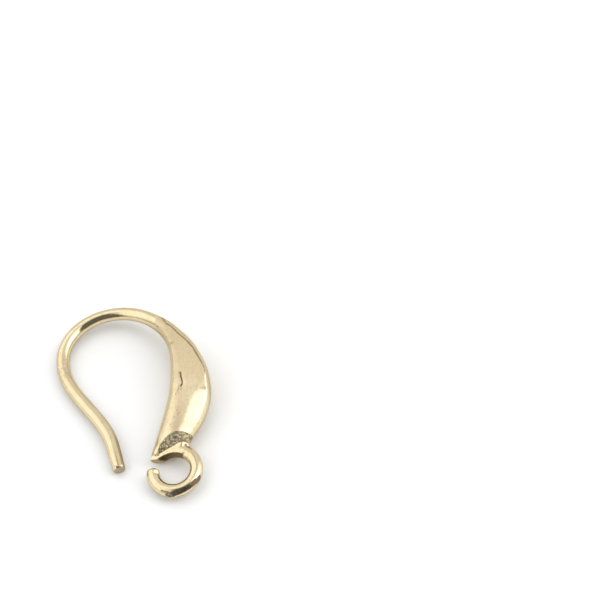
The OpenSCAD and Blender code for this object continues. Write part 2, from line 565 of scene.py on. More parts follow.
# %% Places round the loop
from_loop = skin[:, :2] - loop_mid
loop_angle = np.degrees(np.arctan2(from_loop[:, 1], from_loop[:, 0])) % 360
loop_out = np.hypot(from_loop[:, 0], from_loop[:, 1]) - loop_r
on_loop = np.hypot(loop_out, skin[:, 2]) < tube_r + 0.06
on_body = ~on_loop & (skin[:, 0] > 1.5)
print(f"{on_loop.sum()} of {len(skin)} points are on the loop, {on_body.sum()} on the body")

# %% [markdown]
# ## Soft edges and grain
#
# No mark on tumbled metal starts abruptly, and none is quite even. So every
# mark below is made of two things: a fade, which goes smoothly from 0 to 1,
# and a grain, which is smooth noise with lumps of a known size. The grain is
# always the same for the same seed, so each run gives the same casting.

# %% Fade and grain
def fade(value, start, end):
    """0 before start, 1 after end, smooth between. Start may be the larger."""
    t = np.clip((value - start) / (end - start), 0, 1)
    return t * t * (3 - 2 * t)


def grain(points, size, octaves=2, seed=0):
    """Smooth noise, about -1 to 1, with lumps of the given size in mm."""
    shifted = points / size + 17.3 * seed
    return np.array([noise.fractal(Vector(p), 0.8, 2.1, octaves) for p in shifted])


print("a sample of grain:", grain(skin[:3], 1.0).round(2))

# %% [markdown]
# ## The body's face
#
# The bent rod has an oval section all along. The real body was filed: its
# upper face is nearly flat as far as the line near its outer edge, and turns
# down from there in a rounded shoulder. An extrusion can't give that, since
# the face fades out at both ends. So the skin's points are moved up from the
# oval to the filed section, as if metal were added before it is filed.

# %% Filing the face
line_at = np.interp(share, [0.60, 0.70, 0.75, 0.785, 0.80, 0.84],
                    [0.45, 0.45, 0.66, 0.79, 0.84, 0.86])
line_high = np.interp(share, [0.815, 0.87], [0.95, 0.86])
shoulder_power, inner_power = 2.2, 3.4  # 2 would be an oval, and more is squarer
highest = 0.965

before_line = 1 - (1 - line_high) * (np.maximum(across, 0) / line_at) ** 2
past_line = np.clip((across - line_at) / (1 - line_at), 0, 1)
shoulder = line_high * (1 - past_line ** shoulder_power) ** (1 / shoulder_power)
inner_half = np.clip(1 - abs(across) ** inner_power, 0, 1) ** (1 / inner_power)
filed_section = np.where(across < line_at, before_line, shoulder)
filed_section = np.minimum(np.where(across <= 0, inner_half, filed_section), highest)

oval = np.sqrt(np.clip(1 - across ** 2, 0, 1))
outer_part = (across > 0) * fade(share, 0.60, 0.68) * fade(share, 0.89, 0.81)
inner_part = (across <= 0) * fade(share, 0.61, 0.70) * fade(share, 0.87, 0.77)
rise = (on_body * (skin[:, 2] > 0) * (outer_part + inner_part)
        * half_thick * (filed_section - oval))
skin[:, 2] += rise
print(f"the face's sides are raised by up to {rise.max():.2f} mm")

# %% [markdown]
# ## Two long flats
#
# Two more strokes of a file run down the body: a narrow, crisp flat along its
# inner edge, and a wide, soft one over its face. Both are seen by the light
# that they catch, so they are turned towards directions on the table. A plane
# would bite too deep into a bent edge. The stroke follows the edge instead,
# takes the same little depth all along, and runs out at both ends.

# %% Two long flats
flank, tilt = math.radians(121.843), math.radians(6.6696)
lay = Matrix.Rotation(-tilt, 3, Vector((math.cos(flank), math.sin(flank), 0)))
run_out = 0.7  # the length over which a stroke starts or ends


def on_bench(direction):
    """A direction given for the piece on the table, turned back to the bench."""
    return np.array(lay.transposed() @ Vector(direction).normalized())


def file_edge(direction, mask, depth, low, high, rounding=0.02):
    """Take a long shallow flat off an edge that runs along Y between low and high."""
    reach = skin @ direction
    levels = np.linspace(low, high, 24)
    rows = [mask & (abs(skin[:, 1] - y) < 0.12) for y in levels]
    top = np.array([reach[row].max() if row.any() else 0 for row in rows])
    top = np.convolve(np.pad(top, 2, mode="edge"), np.ones(5) / 5, mode="valid")
    bite = depth * fade(skin[:, 1], low, low + run_out) * fade(skin[:, 1], high, high - run_out)
    over = reach - np.interp(skin[:, 1], levels, top) + bite
    over = (over + np.hypot(over, rounding)) / 2 * mask * fade(bite, 0, 0.8 * depth)
    skin[:] -= over[:, None] * direction
    print(f"a flat of {depth} mm was filed from y = {low} to {high}")


file_edge(on_bench((-0.53, -0.30, 0.79)), on_body & (across < 0) & (skin[:, 2] > -0.2),
          depth=0.055, low=0.9, high=5.6)
file_edge(on_bench((0.39, -0.27, 0.88)), on_body & (across > -0.3) & (skin[:, 2] > 0.1),
          depth=0.06, low=1.5, high=5.0, rounding=0.06)

# %% [markdown]
# ## The slope above the loop
#
# Metal is poured into a mould through a stem, the sprue. Here it was broken
# off above the loop. That left a steep torn slope with a crisp curved top
# edge, and under it a flat rim round the hole. A boolean cut would be too
# clean. The slope is drawn as seen from above, by its top edge and its foot,
# and the skin between the two will be pressed down to it.

# %% Slope and rim, drawn
# Columns: x, y, height
slope_top = np.array([
    (2.32, 0.64, 0.40), (2.43, 1.06, 0.57), (2.70, 1.46, 0.67), (3.00, 1.72, 0.74),
    (3.37, 1.89, 0.75), (3.80, 1.90, 0.68), (4.18, 1.86, 0.44), (4.36, 1.80, 0.0)])
slope_foot = np.array([
    (2.32, 0.62), (2.36, 0.70), (2.73, 0.87), (3.13, 1.05),
    (3.50, 1.25), (3.78, 1.30), (4.06, 1.30), (4.34, 1.46)])


def rim_height(spots):
    """The rim's flat top: 0.31 mm up at its middle, falling to the left and to the hole."""
    return 0.31 + 0.10 * (spots[:, 0] - 2.95) + 0.16 * (spots[:, 1] - 0.80)


def inside(spots, outline):
    """Which spots lie inside a closed outline, seen from above."""
    odd = np.zeros(len(spots), bool)
    for a, b in zip(outline, np.roll(outline, -1, 0)):
        crosses = (a[1] > spots[:, 1]) != (b[1] > spots[:, 1])
        at = a[0] + (spots[:, 1] - a[1]) / np.where(b[1] == a[1], 1, b[1] - a[1]) * (b[0] - a[0])
        odd ^= crosses & (spots[:, 0] < at)
    return odd


slope_outline = np.vstack([slope_top[:, :2], slope_foot[::-1]])
in_slope = inside(skin[:, :2], slope_outline) & (skin[:, 2] > -0.1)
print(in_slope.sum(), "points in the slope")

# %% [markdown]
# ## Pressing the slope down
#
# Each point between the two lines is somewhere on its way from the top edge,
# whose height is mixed from the nearest places in the table, down to the
# rim. It drops quickly at first and then more gently, as a break does. A
# point that is already lower stays where it is, so nothing is built up.

# %% Pressing the slope down
below_top = away_from_line(skin, slope_top[:, :2])
above_foot = away_from_line(skin, slope_foot)
down = below_top / (below_top + above_foot + 1e-9)
to_top = np.hypot(*(skin[:, None, :2] - slope_top[None, :, :2]).transpose(2, 0, 1))
nearness = 1 / (0.05 + to_top) ** 3
edge_z = (nearness * slope_top[:, 2]).sum(1) / nearness.sum(1)
ramp_z = edge_z + (np.minimum(rim_height(skin), edge_z) - edge_z) * (1 - (1 - down) ** 1.2)
pressed = np.where(in_slope, np.minimum(skin[:, 2], ramp_z), skin[:, 2])
print(f"the slope is pressed down by up to {(skin[:, 2] - pressed).max():.2f} mm")
skin[:, 2] = pressed

# %% [markdown]
# ## The rim under it
#
# Between the slope and the hole is a narrow rim, flat on top, with a steep
# wall down into the hole. The round wire of the loop is too low there on its
# inner side and too high on its outer side. So this time the skin is moved
# both ways: down to the rim's top, up to it near the hole, and past the rim's
# edge to the wall.

# %% The rim and its wall
rim_corners = [(4.3, 0.9), (3.9, -0.32), (1.9, -0.32), (1.9, 0.62)]
from_middle = loop_out + loop_r
wall_foot = 0.915  # how far the wall's foot is from the hole's middle
# the rim's edge, above it, is further out to the left than to the right
rim_edge = np.interp(loop_angle, [40, 50, 80, 100, 120, 136, 160],
                     [0.88, 0.89, 0.99, 1.04, 1.08, 1.18, 1.28])

rim = inside(skin[:, :2], np.vstack([slope_foot, rim_corners])) & ~in_slope
rim = rim & (skin[:, 2] > -0.05) & (skin[:, 1] > 0.1)
rim_top = rim_height(skin)
skin[:, 2] = np.where(rim, np.minimum(skin[:, 2], rim_top), skin[:, 2])
built_up = (rim * (from_middle > rim_edge) * (loop_out < 0) * (skin[:, 2] > 0.15)
            * fade(abs(loop_angle - 100), 55, 25))
skin[:, 2] += built_up * (rim_top - skin[:, 2])
down_wall = np.clip((from_middle - wall_foot) / (rim_edge - wall_foot), 0, 1)
wall_height = np.minimum(skin[:, 2], rim_top * down_wall - 0.05 * (1 - down_wall))
skin[:, 2] += (rim * (from_middle < rim_edge) * fade(rim_edge, 0.90, 1.0)
               * (wall_height - skin[:, 2]))
print(rim.sum(), "points on the rim and its wall")

# %% [markdown]
# ## Rubbing it over
#
# Tumbling rounds every edge a little. Slope and rim get three rounds of
# Smooth, few enough to keep the top edge crisp. Right of the hole the rim
# flows into the loop's wire, so two round patches there are rubbed much
# longer. A vertex group tells the modifier which points it may touch.

# %% Rubbing over
def soften(mask, rounds):
    """Rub part of the skin over with a Smooth modifier."""
    set_mesh_points(cast, skin)
    rubbed = cast.vertex_groups.new(name="rubbed")
    rubbed.add(np.flatnonzero(mask).tolist(), 1.0, "REPLACE")
    finish_with(cast, "SMOOTH", factor=0.5, iterations=rounds, vertex_group="rubbed")
    cast.vertex_groups.remove(cast.vertex_groups["rubbed"])
    skin[:] = mesh_points(cast)
    print(mask.sum(), "points rubbed", rounds, "times")


soften((rim | in_slope) & (skin[:, 2] > 0), 3)
for x, y, reach in ((3.76, 1.08, 0.40), (3.75, 0.58, 0.34)):
    soften((np.hypot(skin[:, 0] - x, skin[:, 1] - y) < reach) & (skin[:, 2] > 0), 60)

# %% [markdown]
# ## Torn metal
#
# Where metal breaks it shows its crystals. The slope is roughened with two
# sizes of grain, pushed straight out of the skin so that steep places get as
# much as flat ones. A Displace modifier with a texture would do the same.
# Moving the points keeps the grain's size in millimetres. The rim gets only
# a few soft lumps.

# %% Torn metal
def skin_facing():
    """Put the skin's points on the mesh, and read its outward directions."""
    set_mesh_points(cast, skin)
    directions = np.empty(skin.size)
    cast.data.vertices.foreach_get("normal", directions)
    return directions.reshape(-1, 3)


torn = in_slope * fade(below_top, 0, 0.05) * fade(above_foot, 0, 0.04)
facing = skin_facing()
crystals = 0.010 * grain(skin, 0.16, 2, 5) + 0.026 * grain(skin, 0.08, 2, 6)
skin += (torn * crystals)[:, None] * facing
skin += (rim * (skin[:, 2] > 0.1) * 0.008 * grain(skin, 0.22, 2, 7))[:, None] * facing
print(f"the crystals stand up to {crystals[torn > 0.5].max():.3f} mm high")

# %% [markdown]
# ## Filing the loop
#
# A second, smaller stem was filed off the loop's outer lower edge, which left
# a flat in a few short strokes. A plane through a point just under the skin
# does what a file does: whatever stands above it goes. So a stroke is given
# by its place on the loop, and its plane faces straight out from there.

# %% Strokes on the loop
def loop_direction(ring_turn, tube_turn):
    """Outward from the loop's wire: degrees round the loop, degrees up from its outer side."""
    a, t = math.radians(ring_turn), math.radians(tube_turn)
    return np.array([math.cos(a) * math.cos(t), math.sin(a) * math.cos(t), math.sin(t)])


def loop_point(ring_turn, tube_turn, below=0.0):
    """The place on the loop's skin in that direction, or a little below the skin."""
    a = math.radians(ring_turn)
    middle = np.array([*(loop_mid + loop_r * np.array([math.cos(a), math.sin(a)])), 0])
    return middle + (tube_r - below) * loop_direction(ring_turn, tube_turn)


def file_flat(spot, direction, mask):
    """Take off whatever stands above a plane through spot."""
    over = np.maximum((skin - spot) @ direction, 0) * mask
    skin[:] -= over[:, None] * direction
    return over


stroke_depth = 0.036
bitten = np.zeros(len(skin))
for place in ((265, 22), (274, 34), (284, 43), (296, 47), (308, 47), (321, 42), (333, 26)):
    stroke = file_flat(loop_point(*place, stroke_depth), loop_direction(*place), on_loop)
    bitten = np.maximum(bitten, stroke)
print(f"the file took off up to {bitten.max():.3f} mm")

# %% [markdown]
# ## The loop's ends and its hole
#
# The smoothing rounded the foot's saw cut, so it is filed level again. The
# free end has one small flat on its inner side. Where the file stopped it
# left a small nub, which is raised with two soft bumps. Inside the hole the
# ring of a drop would wear a land, which is a true cylinder as in the solid.

# %% Ends, nub and worn hole
def near(spot, radius):
    """1 at a spot, fading to 0 over about a radius."""
    return np.exp(-(np.linalg.norm(skin - spot, axis=1) / radius) ** 2)


free_flat, flat_depth = (176, 132), 0.022
nearby = on_loop & (np.linalg.norm(skin - loop_point(*free_flat), axis=1) < 0.34)
file_flat(loop_point(*free_flat, flat_depth), loop_direction(*free_flat), nearby)
foot_level = foot_face + flat_depth
at_foot = (skin[:, 0] > 1.5) & (skin[:, 0] < 3.1) & (skin[:, 1] > 0.1) & (skin[:, 1] < 0.8)
file_flat(np.array([0, foot_level, 0]), np.array([0.0, -1.0, 0.0]), at_foot)

nub = 0.06 * near(loop_point(264, -12), 0.15) + 0.05 * near(loop_point(272, -4), 0.13)
facing = skin_facing()
skin += nub[:, None] * facing

land_bite = 0.0304  # how much wider the worn land makes the hole, to each side
land_r = loop_hole_d / 2 + land_bite
from_hole = np.hypot(from_loop[:, 0], from_loop[:, 1])
worn_land = on_loop & (from_hole < land_r) & (abs(skin[:, 2]) < 0.3)
skin[worn_land, :2] = (
    loop_mid + from_loop[worn_land] * (land_r / from_hole[worn_land])[:, None])
facing = skin_facing()
print(f"the nub stands {nub.max():.2f} mm out, and the hole is {2 * land_r:.2f} mm wide")

# %% [markdown]
# ## Tools for the casting's marks
#
# A small casting is never perfect: it has pits, lines, burrs and old dirt. A
# texture could paint them, but then they would catch no light. So each mark
# pushes the skin in or out, and notes how much it darkens the colour: for dirt,
# and at some places for painted shade. All pushes are added up first and done
# at once at the end, so that no mark moves the next one.

# %% Marking tools
top_side = facing[:, 2] > 0.0
push, dirt_and_shade = np.zeros(len(skin)), np.zeros(len(skin))
uneven = 1 + 0.5 * grain(skin, 0.13, 1, 11)  # a groove's width varies by this
shaky = 0.022 * np.stack([grain(skin, 0.2, 2, 8), grain(skin, 0.2, 2, 9), 0 * share], 1)


def darken_colour(darkening, shape):
    """Darken the colour where a shape is, for dirt and for painted shade. The darkest of all marks
    counts.
    """
    dirt_and_shade[:] = np.maximum(dirt_and_shade, darkening * shape)


def groove(drawn_line, width, depth, darkening=0.0):
    """Scratch a slightly shaky line into the upper side. Depth below 0 raises a lip."""
    away = away_from_line(skin + shaky, drawn_line)
    shape = np.exp(-(away / (width / 2 * uneven)) ** 2) * top_side
    push[:] -= depth * shape
    darken_colour(darkening, shape)


def pit(x, y, radius, depth, darkening=0.0):
    """Press a round dent into the upper side. Depth below 0 raises a bead."""
    shape = np.exp(-(np.hypot(skin[:, 0] - x, skin[:, 1] - y) / radius) ** 2) * top_side
    push[:] -= depth * shape
    darken_colour(darkening, shape)


print("a line shakes by up to", round(abs(shaky).max(), 3), "mm")

# %% [markdown]
# ## Wavy skin and the worn bend
#
# Wax, mould and tumbling leave the skin slightly wavy, which is what makes
# the reflections on the wire wander. Long soft waves and finer lumps are
# laid over each other, with the finest only on the wire and the loop. Where
# the leg runs into the arch, the wire is worn grainy and a little brown.

# %% Wavy skin and worn bend
push += 0.005 * grain(skin, 1.3, 2, 1) + 0.0018 * grain(skin, 0.3, 2, 2)
push += 0.0012 * ~on_body * grain(skin, 0.12, 2, 12)
worn_bend = near(np.array([*wire_point(0.295, 0.0), 0.4]), 0.9)
push += 0.006 * worn_bend * grain(skin, 0.14, 2, 3)
darken_colour(0.3, worn_bend * fade(grain(skin, 0.09, 2, 15), 0.0, 0.35))
print(f"the skin's waves are up to {push.max():.3f} mm high")

# %% [markdown]
# ## The edge line and the crack
#
# The line along the outer edge is a shallow groove, painted dark. The crack
# is deeper, with a raised lip on its left, and ends in a handful of torn
# spots, some standing up and some sunk. They are set one by one, because
# scattered at random they would never sit where the crack ends.

# %% Edge line and crack
groove(edge_line, 0.085, 0.035, 0.85)
groove(crack_line, 0.10, 0.07, 1.0)
groove([(x - 0.11, y) for x, y in crack_line], 0.09, -0.03)

# Columns: x, y, radius, depth, dirt
torn_spots = (
    (3.54, 4.70, 0.07, -0.03, 0), (3.40, 4.66, 0.05, 0.04, 0.6), (3.46, 4.50, 0.05, -0.03, 0),
    (3.33, 4.52, 0.05, 0.04, 0.7), (3.22, 4.36, 0.06, 0.03, 0.4), (3.60, 4.56, 0.05, 0.03, 0.4),
    (3.27, 4.60, 0.05, -0.02, 0), (3.44, 4.34, 0.06, 0.02, 0.3), (3.42, 6.02, 0.10, -0.015, 0))
for spot in torn_spots:
    pit(*spot)
print("the crack ends in", len(torn_spots), "torn spots")

# %% [markdown]
# ## Pits
#
# Gas in the metal leaves pits. A few larger ones are set where they are on
# the body's face, with one dent where it grows out of the wire. Between them
# runs a band of many tiny ones. Those are too many to set, so they come from
# the grain: only its highest lumps count, and only near the band's line.

# %% Pits
# Columns: x, y, radius, depth, dirt
pits = (
    (3.43, 3.19, 0.05, 0.03, 0.5), (3.47, 2.94, 0.05, 0.02, 0.4), (3.25, 2.77, 0.05, 0.02, 0.6),
    (3.04, 2.32, 0.05, 0.02, 0.6), (3.30, 3.45, 0.05, 0.02, 0.4), (3.55, 3.00, 0.05, 0.015, 0.4),
    (4.72, 3.68, 0.05, 0.015, 0.25), (2.76, 7.94, 0.12, 0.02, 0.5))
for spot in pits:
    pit(*spot)

pitted_band = away_from_line(skin, [(3.52, 3.6), (3.42, 2.9), (3.25, 2.1)])
porous = (top_side * on_body * np.exp(-(pitted_band / 0.20) ** 2)
          * fade(grain(skin, 0.07, 2, 14), 0.12, 0.40))
push -= 0.008 * porous
darken_colour(0.25, porous)
print(len(pits), "pits, and", (porous > 0.5).sum(), "points in tiny ones")

# %% [markdown]
# ## The pin's end
#
# The pin was nipped off and ground. Along the top of its cut end's rim lies a
# painted dark reflection, two specks of burr stand behind it, and a faint dark
# line runs back along it. A place on the round pin is a distance along it and
# an angle round it, so the marks are given in those.

# %% The pin's end
around = np.degrees(np.arctan2(skin[:, 2], outward))
on_pin = (along < 1.3) & (skin[:, 0] < 1) & (skin[:, 1] < 2)


def pin_band(behind_end, off_turn=0.0):
    """A narrow band round the pin, at a distance behind its cut end, or a part of it."""
    return on_pin * np.exp(-((along - pin_start - behind_end) / 0.05) ** 2 - off_turn ** 2)


# painted dark reflection along the top of the cut end's rim
darken_colour(1.0, pin_band(0.045) * fade(abs(around - 102), 36, 18))
for burr_turn in (72, 131):
    push += 0.035 * pin_band(0.14, (around - burr_turn) / 12)
darken_colour(0.55, on_pin * np.exp(-((around - 98) / 7) ** 2) * fade(along, 1.3, 0.3))
print(on_pin.sum(), "points on the pin's end")

# %% [markdown]
# ## Dirt, and painted dark reflections on leg and loop
#
# Tumbling cleans what stands out and misses the rest. The leg's right edge gets
# a painted dark reflection along it. At the rim's right end there is a dark
# crease. A faint painted dark reflection lies over the top of the loop's right
# half, with a short scratched line at its lower left. A long line is set as a
# row of small dents, each a little further round the loop.

# %% Dirt, and painted dark reflections on leg and loop
leg = (skin[:, 0] < 1.6) * (skin[:, 1] < 9) * fade(along, 7.0, 4.5)
# painted dark reflection along the leg's right edge
darken_colour(0.8, leg * fade(around % 360, 146, 156) * fade(around % 360, 214, 200))
groove([(3.92, 1.17), (4.06, 1.10)], 0.09, 0.04, 0.85)
darken_colour(0.35, near(np.array([3.88, 1.24, 0.42]), 0.22))


def seam(places, below, radius, depth, darkening):
    """A row of small dents on the loop, at degrees round it and up its wire."""
    for place in places:
        dent = near(loop_point(*place, below), radius)
        push[:] -= depth * dent
        darken_colour(darkening, dent)


seam([(turn, 51) for turn in np.linspace(246, 262, 10)], 0.01, 0.075, 0.004, 1.0)
# painted dark reflection: a faint line over the top of the loop's right half, on tiny dents
seam([(turn, np.interp(turn, [-26, 4, 21, 43, 58], [76, 76, 84, 72, 40]))
      for turn in np.linspace(58, -26, 40)], 0.0, 0.03, 0.0015, 0.35)
# dirt and painted shade are both counted here
print((dirt_and_shade > 0.5).sum(), "points are dirty by now")

# %% [markdown]
# ## The hole's wall, painted in shade
#
# The steep wall between rim and hole is painted nearly black, as painted shade
# in that recess. It needs no dents, as its shape is there already. Then all
# pushes are made at once, straight out of the skin.

# %% Painted shade on the wall, and all marks made
loop_around = np.degrees(np.arctan2(skin[:, 2], loop_out)) % 360
wall = (on_loop * (loop_out < -0.1) * fade(rim_height(skin) - skin[:, 2], 0.01, 0.03)
        * fade(loop_around, 215, 190))
# painted shade: the hole's steep wall is made nearly black
darken_colour(1.0, wall * fade(abs(loop_angle - 106), 52, 40))
skin += push[:, None] * facing
facing = skin_facing()
print(f"marks move the skin by {push.min():.3f} to {push.max():.3f} mm")

# %% [markdown]
# ## Where the finish changes
#
# The brass shader has to know which points are matt, dull or filed, and where
# shade is painted on the lower sides. Masks could be painted by hand on the
# mesh. Worked out from each point's place they follow the shape exactly: the
# body's face, its duller middle band, the filed flats, the pin's cut end and the foot's saw cut.

# %% Finish masks
face_left = np.interp(share, [0.60, 0.66, 0.82, 0.88], [0.0, -0.7, -0.7, -0.35])
body_face = (on_body * fade(share, 0.60, 0.64) * fade(share, 0.97, 0.93)
             * fade(across, face_left - 0.2, face_left + 0.1)
             * fade(across, 1.0, 0.75) * fade(facing[:, 2], 0.3, 0.6))
upper_face = body_face * fade(share, 0.85, 0.80)
mid_line = away_from_line(skin, [(3.62, 4.7), (3.50, 3.4), (3.30, 1.9)])
mid_band = (on_body * np.exp(-(mid_line / 0.30) ** 2)
            * (facing[:, 2] > 0) * fade(skin[:, 1], 5.2, 4.4))
dull_bend = worn_bend * fade(grain(skin, 0.08, 2, 15), -0.1, 0.35)
filed = fade(bitten, 0, 0.006) * (1 - 0.9 * near(loop_point(286, 50, 0.03), 0.07))
cut_end = fade(along, pin_start + 0.035, pin_start + 0.015) * on_pin
sawn = at_foot & (abs(skin[:, 1] - foot_level) < 0.02) & (facing[:, 1] < -0.6)
# the foot's saw cut is darkened, most towards its top
saw_cut_dark = sawn * (0.5 + 0.4 * fade(skin[:, 2], 0.05, 0.2))
# painted shade: the sides that face down towards the table are darkened, less so on the body's
# outer side
painted_low_shade = fade(facing[:, 2], 0.25, -0.35) * (1 - 0.9 * on_body * fade(across, 0.2, 0.6))
print(sawn.sum(), "points on the saw cut,", (cut_end > 0.5).sum(), "on the pin's cut end")

# %% [markdown]
# ## Telling the finish where it is
#
# Each mask is stored on the mesh as a named number from 0 to 1, which the
# material can read. Next to them goes a coordinate that runs along the wire
# and round it, so that fine scratches follow the wire as they do on the real
# piece. An unwrapped UV map would do that too, but it would need a seam.

# %% Finish maps
def keep(name, values):
    """Store one number per point under a plain name."""
    values = np.clip(values, 0, 1)
    layer = cast.data.attributes.new(name, "FLOAT", "POINT")
    layer.data.foreach_set("value", values.astype(np.float32))
    print(f"{name}: {100 * values.mean():.1f} % of the skin")


keep("torn", torn)
keep("matt", body_face * 0.75 + upper_face * 0.25)
keep("dull", np.maximum(mid_band, 0.75 * dull_bend))
keep("dirt_and_shade", np.maximum(dirt_and_shade, saw_cut_dark))
keep("filed", filed)
keep("cut_end", cut_end)
keep("shaded", painted_low_shade)

wire_turn, loop_turn = np.radians(around), np.radians(loop_around)
on_wire = np.stack([along, np.cos(wire_turn), np.sin(wire_turn)], 1)
past_wire = 40 + np.radians(loop_angle) * loop_r  # 40 is past the end of the wire line
on_ring = np.stack([past_wire, np.cos(loop_turn), np.sin(loop_turn)], 1)
along_wire = cast.data.attributes.new("along_wire", "FLOAT_VECTOR", "POINT")
along_wire.data.foreach_set(
    "vector", np.where(on_loop[:, None], on_ring, on_wire).astype(np.float32).ravel())

# %% [markdown]
# ## Laying it down
#
# The hook can't lie flat, because its body is thicker than its wire. It rests
# on the pin's end, the wire's flank and the body's belly, which tips it by
# nearly 7 degrees. It could be dropped in a simulation. The angle is known
# from the solid, so the bench piece is tipped about the line from the pin's
# end to the flank, shrunk to its real size, and set down on the table.

# %% On the table
solid_shift = Matrix.Translation((-0.230025, -4.71086, wire_r))  # centres it, as the solid
cast.matrix_world = Matrix.Scale(MM, 4) @ solid_shift @ lay.to_4x4()
pick_up(cast)
bpy.ops.object.transform_apply(location=True, rotation=True, scale=True)
lowest = mesh_points(cast)[:, 2].min()
bpy.ops.transform.translate(value=(0, 0, -lowest))
bpy.ops.object.transform_apply(location=True)
print(f"it was raised by {-1000 * lowest:.4f} mm and stands {1000 * cast.dimensions.z:.2f} mm high")

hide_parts("ear_wire")
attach(cast, "root")

# %% [markdown]
# ## Making materials in code
#
# A material is a net of nodes. By hand they are dragged in and wired up one
# by one. In code a few short names do the same, and keep the recipe itself
# readable. They serve the brass and the light tent alike.

# %% Node helpers
def make(tree, kind, _links=(), **settings):
    """Add a node. Keyword names are its settings; _links is a dict of inputs."""
    node = tree.nodes.new(kind)
    for name, value in settings.items():
        setattr(node, name, value)
    for name, value in dict(_links).items():
        socket = node.inputs[name]
        if isinstance(value, bpy.types.NodeSocket):
            tree.links.new(value, socket)
        else:
            socket.default_value = value
    return node


class Tray:
    """Short names for laying out the nodes of one net."""

    def __init__(self, tree):
        self.tree = tree

    def map(self, name):
        return make(self.tree, "ShaderNodeAttribute", attribute_name=name).outputs["Fac"]

    def math(self, operation, a, b=0.0, c=0.0):
        return make(self.tree, "ShaderNodeMath", {0: a, 1: b, 2: c},
                    operation=operation).outputs[0]

    def times(self, first, *others):
        """All of them multiplied."""
        for other in others:
            first = self.math("MULTIPLY", first, other)
        return first

    def add_to(self, base, value, amount):
        """The base, with a value added as strongly as the amount says."""
        return self.math("MULTIPLY_ADD", value, amount, base)

    def mix(self, share_of, a, b):
        return make(self.tree, "ShaderNodeMix", {0: share_of, 6: a, 7: b},
                    data_type="RGBA").outputs[2]

    def noise(self, where, scale, detail=2.0, roughness=0.5, distortion=0.0):
        return make(self.tree, "ShaderNodeTexNoise", {
            "Vector": where, "Scale": scale, "Detail": detail, "Roughness": roughness,
            "Distortion": distortion}).outputs["Fac"]

    def step(self, value, start, end, low=0.0, high=1.0):
        """Smoothly from low at start to high at end. Start may be the larger."""
        return make(self.tree, "ShaderNodeMapRange", {
            "Value": value, "From Min": start, "From Max": end, "To Min": low, "To Max": high},
            interpolation_type="SMOOTHSTEP").outputs["Result"]


# %% [markdown]
# ## The brass: its patterns
#
# Bare brass is a pale yellow metal. Here it is tumbled bright on the wire and
# the loop, duller and slightly grainy on the body's face, brown in grooves,
# and dark and sparkling on the torn slope. A photo could be wrapped round it,
# but one shader does it all at any size. It starts with the patterns: the
# maps from the mesh, noises in millimetres for blotches, grain and specks,
# and one noise that is drawn out along the wire for its fine scratches.

# %% Brass: patterns
brass = bpy.data.materials.new("cast_brass")
brass.use_nodes = True
tray = Tray(brass.node_tree)
shader = tray.tree.nodes["Principled BSDF"]
shader.inputs["Metallic"].default_value = 1
shader.inputs["Specular Tint"].default_value = (0.70, 0.62, 0.50, 1)

object_place = make(tray.tree, "ShaderNodeTexCoord").outputs["Object"]
in_mm = make(tray.tree, "ShaderNodeVectorMath", {0: object_place, "Scale": 1 / MM},
             operation="SCALE").outputs[0]
wire_place = make(tray.tree, "ShaderNodeAttribute", attribute_name="along_wire").outputs["Vector"]
drawn_out = make(tray.tree, "ShaderNodeVectorMath", {0: wire_place, 1: (0.6, 5.0, 5.0)},
                 operation="MULTIPLY").outputs[0]

blotch = tray.noise(in_mm, 1.1, 3.0, 0.6)
fine = tray.noise(in_mm, 14.0, 3.0, 0.7)
speck = tray.noise(in_mm, 9.0, 2.0, 0.6)
crumbs = tray.noise(in_mm, 7.5, 2.0, 0.6)
mottle = tray.step(tray.noise(in_mm, 4.5, 4.0, 0.7), 0.48, 0.60)
scratch = tray.noise(drawn_out, 2.6, 4.0, 0.65, 0.3)
torn_map, matt_map, dull_map, dirt_and_shade_map, filed_map, cut_map, low_shade_map = (
    tray.map(name) for name in ("torn", "matt", "dull", "dirt_and_shade", "filed", "cut_end", "shaded"))
print("the brass has", len(tray.tree.nodes), "nodes for its patterns")

# %% [markdown]
# ## The brass: its colour
#
# A metal's colour is the tint of what it mirrors. The colour is laid on in
# thin coats, as a painter would: first the bright metal with deeper blotches,
# then one coat for each kind of place, the dirtiest last. Each coat has a
# mask, which says how strongly it covers what is below.

# %% Brass: colour
bright_brass, deep_brass = (0.815, 0.705, 0.475, 1), (0.775, 0.655, 0.41, 1)
torn_dark = tray.times(torn_map, tray.step(crumbs, 0.56, 0.48))
filed_dark = tray.times(filed_map, tray.step(speck, 0.68, 0.58))
coats = (
    (tray.times(matt_map, 0.8), (0.84, 0.73, 0.52)),                  # pale matt face
    (tray.step(matt_map, 0.76, 0.98), (0.74, 0.62, 0.40)),            # its upper part
    (tray.times(matt_map, mottle, 0.55), (0.70, 0.58, 0.38)),         # its mottling
    (tray.step(speck, 0.52, 0.68, 0.0, 0.4), (0.62, 0.50, 0.31)),     # tan specks
    (tray.times(dull_map, 0.7), (0.64, 0.51, 0.33)),                  # worn dull
    (tray.times(low_shade_map, 0.35), (0.55, 0.44, 0.26)),               # painted shade on the lower sides
    (tray.step(scratch, 0.60, 0.75, 0.0, 0.35), (0.55, 0.43, 0.25)),  # scratches
    (tray.times(torn_map, 0.6), (0.56, 0.49, 0.315)),                 # torn slope
    (torn_dark, (0.31, 0.27, 0.175)),
    (dirt_and_shade_map, (0.21, 0.15, 0.09)),                                  # dirt, painted shade and painted dark reflections
    (filed_dark, (0.215, 0.155, 0.11)),
    (cut_map, (0.50, 0.42, 0.29)))                                    # pin's cut end
colour = tray.mix(tray.step(blotch, 0.35, 0.65), bright_brass, deep_brass)
for cover, tint in coats:
    colour = tray.mix(cover, colour, (*tint, 1))
tray.tree.links.new(colour, shader.inputs["Base Color"])
print("the colour has", len(coats), "coats over the bright metal")

